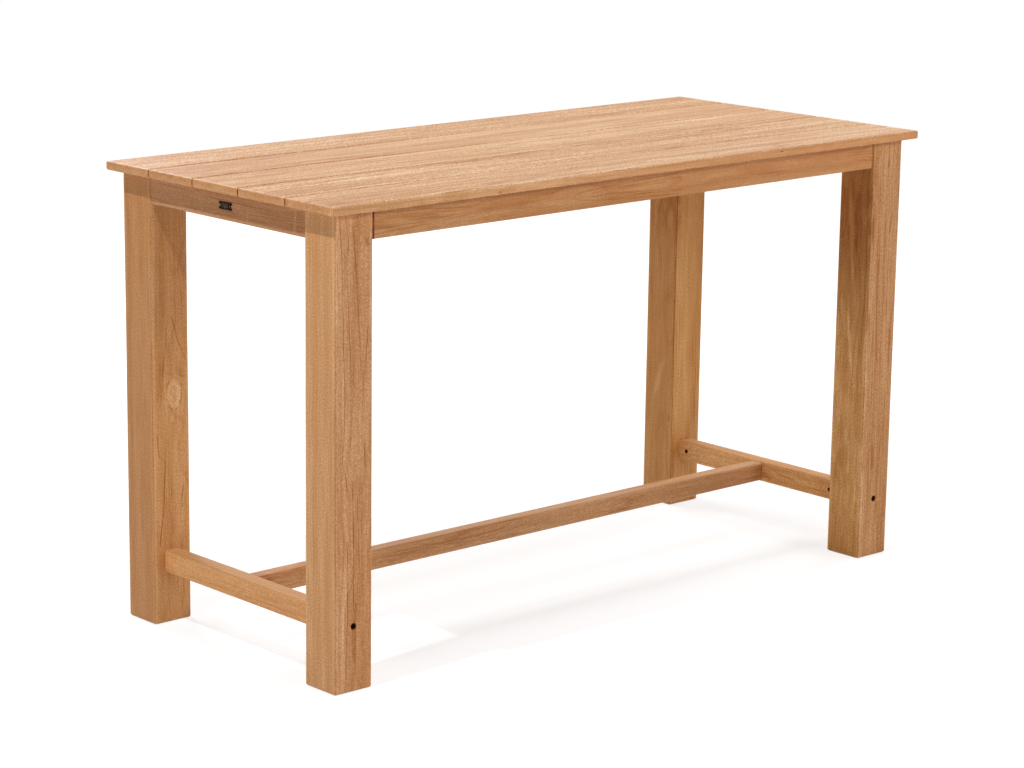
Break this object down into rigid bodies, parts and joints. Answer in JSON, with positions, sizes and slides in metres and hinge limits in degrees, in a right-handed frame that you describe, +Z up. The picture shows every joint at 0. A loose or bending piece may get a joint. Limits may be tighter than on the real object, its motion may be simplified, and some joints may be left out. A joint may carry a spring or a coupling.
{
  "type": "bar table",
  "caption": "Tall rectangular bar table of oiled hardwood: slatted top, square legs, apron frame and an H-shaped foot rail.",
  "frame": {"origin": "on the floor, under the middle of the top", "axes": "+X along the top's long side, +Y across it towards the back, +Z up"},
  "size_m": [1.8, 0.8, 1.05],
  "materials": {
    "top_wood": "sanded and oiled, pale golden brown",
    "leg_wood": "planed and oiled, straight grain",
    "frame_wood": "planed and oiled, reddish brown",
    "stretcher_wood": "planed and oiled, rounded edges",
    "blackened_steel": "black oxide",
    "plated_steel": "dull zinc plate",
    "dark_bronze": "blackened bronze, blank"
  },
  "bodies": {
    "root": {"top_board_1": "top_wood", "top_board_2": "top_wood", "top_board_3": "top_wood", "top_board_4": "top_wood", "top_board_5": "top_wood", "leg_front_left": "leg_wood", "leg_front_right": "leg_wood", "leg_back_right": "leg_wood", "leg_back_left": "leg_wood", "long_apron_front": "frame_wood", "long_apron_back": "frame_wood", "end_apron_left": "frame_wood", "end_apron_right": "frame_wood", "batten_left": "frame_wood", "batten_middle": "frame_wood", "batten_right": "frame_wood", "end_cleat_left": "frame_wood", "end_cleat_right": "frame_wood", "corner_brace_front_left": "frame_wood", "corner_brace_front_right": "frame_wood", "corner_brace_back_right": "frame_wood", "corner_brace_back_left": "frame_wood", "end_stretcher_left": "stretcher_wood", "end_stretcher_right": "stretcher_wood", "long_stretcher": "stretcher_wood", "stretcher_bolts": "blackened_steel", "barrel_nuts": "blackened_steel", "hanger_bolts": "plated_steel", "hanger_nuts": "plated_steel", "name_plate": "dark_bronze"}
  },
  "joints": []
}
